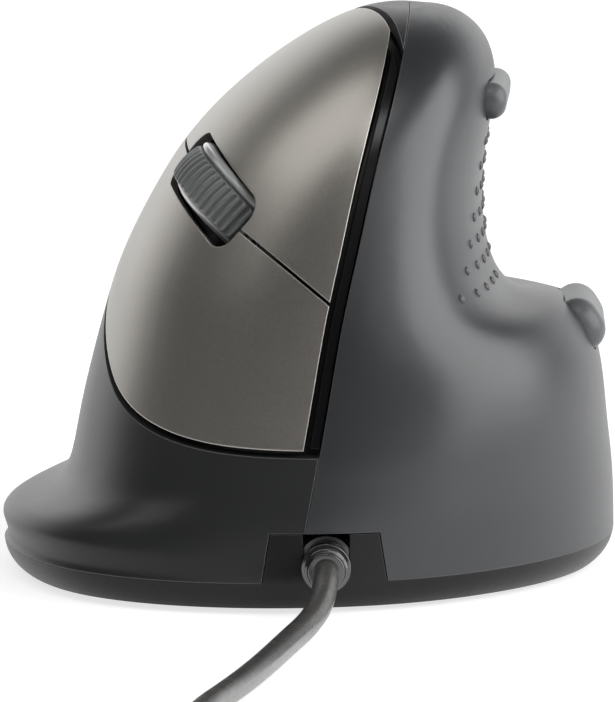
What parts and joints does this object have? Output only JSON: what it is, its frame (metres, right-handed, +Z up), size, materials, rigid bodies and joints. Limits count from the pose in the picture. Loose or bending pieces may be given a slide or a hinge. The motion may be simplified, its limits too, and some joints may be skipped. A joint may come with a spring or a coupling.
{
  "type": "vertical ergonomic computer mouse",
  "caption": "Upright right-handed wired mouse: leaning finger keys with a scroll wheel between them, a hollowed thumb side with push buttons, and a cable ending in a plug.",
  "frame": {"origin": "centre of the housing outline on the surface it stands on", "axes": "+Z up, -Y towards the cable, -X towards the finger keys, +X towards the thumb side"},
  "size_m": [0.0971, 0.3497, 0.079],
  "materials": {
    "base_plastic": "fine texture, matt",
    "finger_shell_plastic": "smooth satin",
    "thumb_shell_plastic": "soft satin",
    "frame_plastic": "gloss",
    "key_plastic": "satin with a metallic paint",
    "wheel_rubber": "ribbed rubber",
    "wheel_plastic": "gloss",
    "inner_plastic": "moulded",
    "switch_plastic": "moulded",
    "plunger_plastic": "moulded",
    "side_button_plastic": "satin",
    "dot_rubber": "matt",
    "board": "solder mask",
    "chip": "moulded",
    "lens": "clear plastic",
    "connector_plastic": "moulded",
    "ribbon": "flat cable",
    "screw_steel": "plated steel",
    "glide": "slippery film",
    "boot_rubber": "matt rubber",
    "cable_sleeve": "fine cross ribs, satin",
    "tie_plastic": "matt",
    "plug_plastic": "matt",
    "plug_steel": "plated",
    "contact_brass": "plated"
  },
  "bodies": {
    "housing": {"base_shell": "base_plastic", "finger_shell": "finger_shell_plastic", "thumb_shell": "thumb_shell_plastic", "button_frame": "frame_plastic", "button_board": "board", "upper_switch": "switch_plastic", "lower_switch": "switch_plastic", "wheel_switch": "switch_plastic", "upper_thumb_switch": "switch_plastic", "lower_thumb_switch": "switch_plastic", "upper_thumb_board": "board", "lower_thumb_board": "board", "grip_dots": "dot_rubber", "main_board": "board", "sensor_lens": "lens", "sensor_chip": "chip", "board_components": "chip", "cable_connector": "connector_plastic", "cable_lead": "cable_sleeve", "button_ribbon": "ribbon", "upper_thumb_lead": "ribbon", "lower_thumb_lead": "ribbon", "board_screws": "screw_steel", "base_screws": "screw_steel", "glide_feet": "glide", "cable_boot": "boot_rubber", "cable": "cable_sleeve", "cable_coil": "cable_sleeve", "cable_tie": "tie_plastic", "cable_tail": "cable_sleeve", "plug_body": "plug_plastic", "plug_shell": "plug_steel", "plug_tongue": "chip", "plug_contacts": "contact_brass"},
    "upper_key": {"upper_button": "key_plastic"},
    "lower_key": {"lower_button": "key_plastic"},
    "carriage": {"wheel_carriage": "inner_plastic", "wheel_encoder": "switch_plastic"},
    "wheel": {"wheel_tyre": "wheel_rubber", "wheel_hub": "wheel_plastic", "encoder_rotor": "inner_plastic"},
    "upper_thumb_key": {"upper_thumb_button": "side_button_plastic"},
    "lower_thumb_key": {"lower_thumb_button": "side_button_plastic"},
    "upper_plunger": {"upper_switch_plunger": "plunger_plastic"},
    "lower_plunger": {"lower_switch_plunger": "plunger_plastic"},
    "wheel_plunger": {"wheel_switch_plunger": "plunger_plastic"},
    "upper_thumb_pin": {"upper_thumb_plunger": "plunger_plastic"},
    "lower_thumb_pin": {"lower_thumb_plunger": "plunger_plastic"}
  },
  "joints": [
    {"name": "upper_button_press", "type": "hinge", "parent": "housing", "child": "upper_key", "pos_m": [-0.01145, 0.01565, 0.05677], "axis": [0.6947, 0, 0.7193], "range_deg": [0, 0.6], "stiffness_Nm_per_rad": 2.8, "springref_deg": -0.57},
    {"name": "lower_button_press", "type": "hinge", "parent": "housing", "child": "lower_key", "pos_m": [-0.01145, 0.01565, 0.05677], "axis": [0.6947, 0, 0.7193], "range_deg": [0, 0.6], "stiffness_Nm_per_rad": 2.8, "springref_deg": -0.57},
    {"name": "wheel_press", "type": "hinge", "parent": "housing", "child": "carriage", "pos_m": [-0.00191, -0.04146, 0.045], "axis": [-0.6947, 0, -0.7193], "range_deg": [0, 1.1], "stiffness_Nm_per_rad": 1.6, "springref_deg": -1.15},
    {"name": "wheel_spin", "type": "hinge", "parent": "carriage", "child": "wheel", "pos_m": [-0.00799, -0.02807, 0.05087], "axis": [0.6947, 0, 0.7193], "continuous": true},
    {"name": "upper_thumb_press", "type": "slide", "parent": "housing", "child": "upper_thumb_key", "axis": [-0.9946, 0.0408, 0.0951], "range_m": [0, 0.0005], "stiffness_N_per_m": 1400, "springref_m": -0.0005},
    {"name": "lower_thumb_press", "type": "slide", "parent": "housing", "child": "lower_thumb_key", "axis": [-0.8477, -0.0092, -0.5304], "range_m": [0, 0.0005], "stiffness_N_per_m": 1400, "springref_m": -0.0005},
    {"name": "upper_plunger_slide", "type": "slide", "parent": "housing", "child": "upper_plunger", "axis": [0.6519, 0.4226, -0.6296], "range_m": [0, 0.0006]},
    {"name": "lower_plunger_slide", "type": "slide", "parent": "housing", "child": "lower_plunger", "axis": [0.6519, 0.4226, -0.6296], "range_m": [0, 0.0006]},
    {"name": "wheel_plunger_slide", "type": "slide", "parent": "housing", "child": "wheel_plunger", "axis": [0.6519, 0.4226, -0.6296], "range_m": [0, 0.00066]},
    {"name": "upper_thumb_pin_slide", "type": "slide", "parent": "housing", "child": "upper_thumb_pin", "axis": [-0.9946, 0.0408, 0.0951], "range_m": [0, 0.00055]},
    {"name": "lower_thumb_pin_slide", "type": "slide", "parent": "housing", "child": "lower_thumb_pin", "axis": [-0.8477, -0.0092, -0.5304], "range_m": [0, 0.00055]}
  ],
  "couplings": [
    {"joint": "upper_plunger_slide", "follows": "upper_button_press", "m_per_rad": 0.04941},
    {"joint": "lower_plunger_slide", "follows": "lower_button_press", "m_per_rad": 0.04941},
    {"joint": "wheel_plunger_slide", "follows": "wheel_press", "m_per_rad": 0.0329},
    {"joint": "upper_thumb_pin_slide", "follows": "upper_thumb_press", "ratio": 1},
    {"joint": "lower_thumb_pin_slide", "follows": "lower_thumb_press", "ratio": 1}
  ]
}
